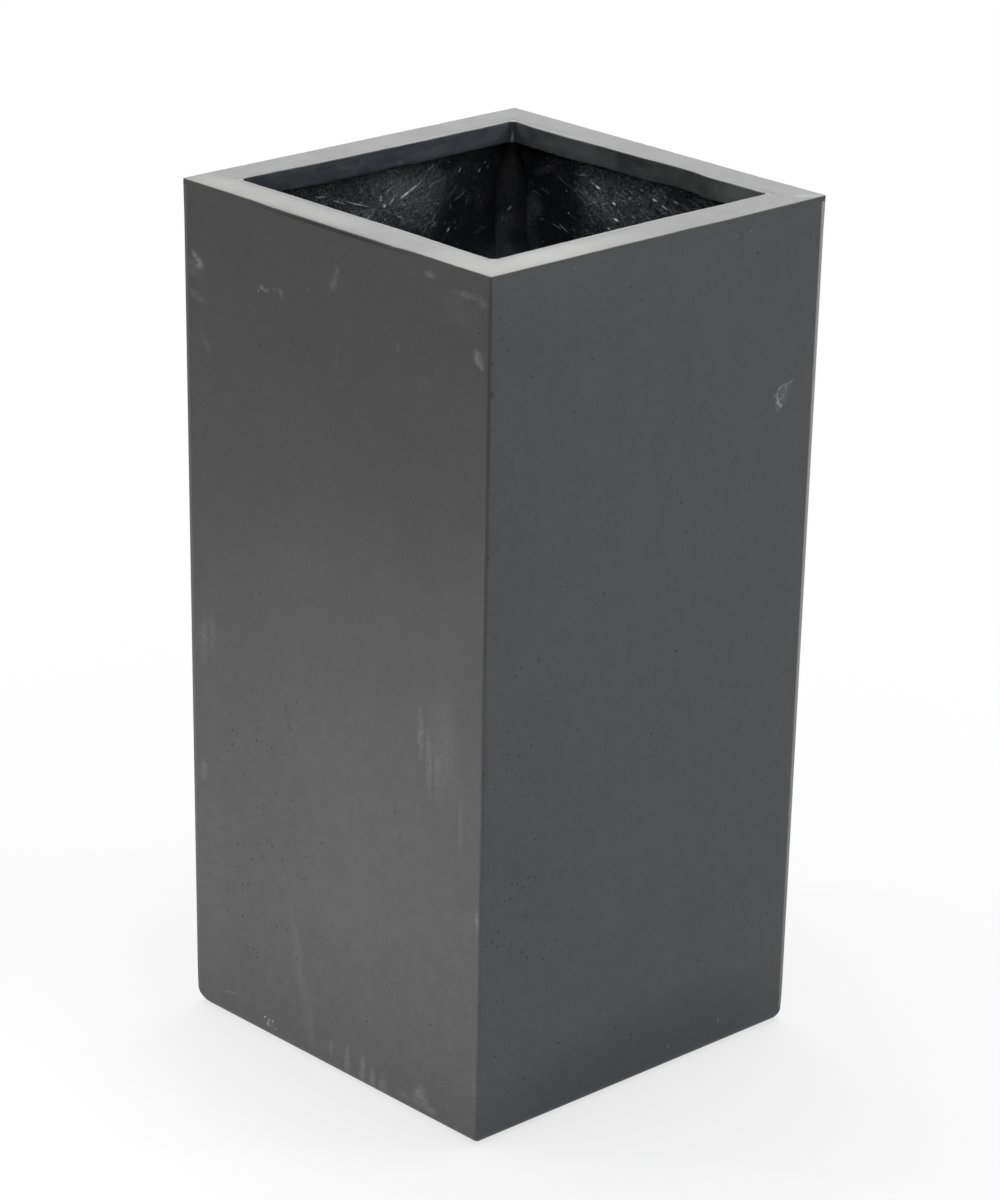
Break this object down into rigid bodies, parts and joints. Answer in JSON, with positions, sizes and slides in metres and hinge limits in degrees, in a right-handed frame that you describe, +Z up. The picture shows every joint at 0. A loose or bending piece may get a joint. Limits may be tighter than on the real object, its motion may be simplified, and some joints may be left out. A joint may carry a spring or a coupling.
{
  "type": "fiberglass planter",
  "caption": "Tall square planter with gently tapered smooth grey sides, a flat rim with a short return lip, a bare black fibre-laminate inside and a plugged drain hole.",
  "frame": {"origin": "on the floor, at the middle of the base", "axes": "+Z up through the middle of the planter, +X towards its right side and +Y towards its back, so that the front is -Y"},
  "size_m": [0.4, 0.4, 0.8],
  "materials": {
    "stone_resin": "matte",
    "lip_resin": "matte",
    "glass_laminate": "glossy",
    "filler": "matte",
    "plug_rubber": "matte"
  },
  "bodies": {
    "planter": {"facing_front": "stone_resin", "facing_right": "stone_resin", "facing_back": "stone_resin", "facing_left": "stone_resin", "laminate_front": "glass_laminate", "laminate_right": "glass_laminate", "laminate_back": "glass_laminate", "laminate_left": "glass_laminate", "rim_rail_front": "stone_resin", "rim_rail_right": "stone_resin", "rim_rail_back": "stone_resin", "rim_rail_left": "stone_resin", "return_lip_front": "lip_resin", "return_lip_right": "lip_resin", "return_lip_back": "lip_resin", "return_lip_left": "lip_resin", "lip_backing_front": "glass_laminate", "lip_backing_right": "glass_laminate", "lip_backing_back": "glass_laminate", "lip_backing_left": "glass_laminate", "floor_cove_front": "glass_laminate", "floor_cove_right": "glass_laminate", "floor_cove_back": "glass_laminate", "floor_cove_left": "glass_laminate", "lip_bead_front_right": "filler", "lip_bead_back_right": "filler", "lip_bead_back_left": "filler", "lip_bead_front_left": "filler", "corner_tape_front_right": "glass_laminate", "corner_tape_back_right": "glass_laminate", "corner_tape_back_left": "glass_laminate", "corner_tape_front_left": "glass_laminate", "base_tray": "stone_resin", "floor_laminate": "glass_laminate"},
    "plug": {"drain_plug": "plug_rubber"}
  },
  "joints": [
    {"name": "drain_plug_lift", "type": "slide", "parent": "planter", "child": "plug", "axis": [0, 0, 1], "range_m": [0, 0.82]}
  ]
}
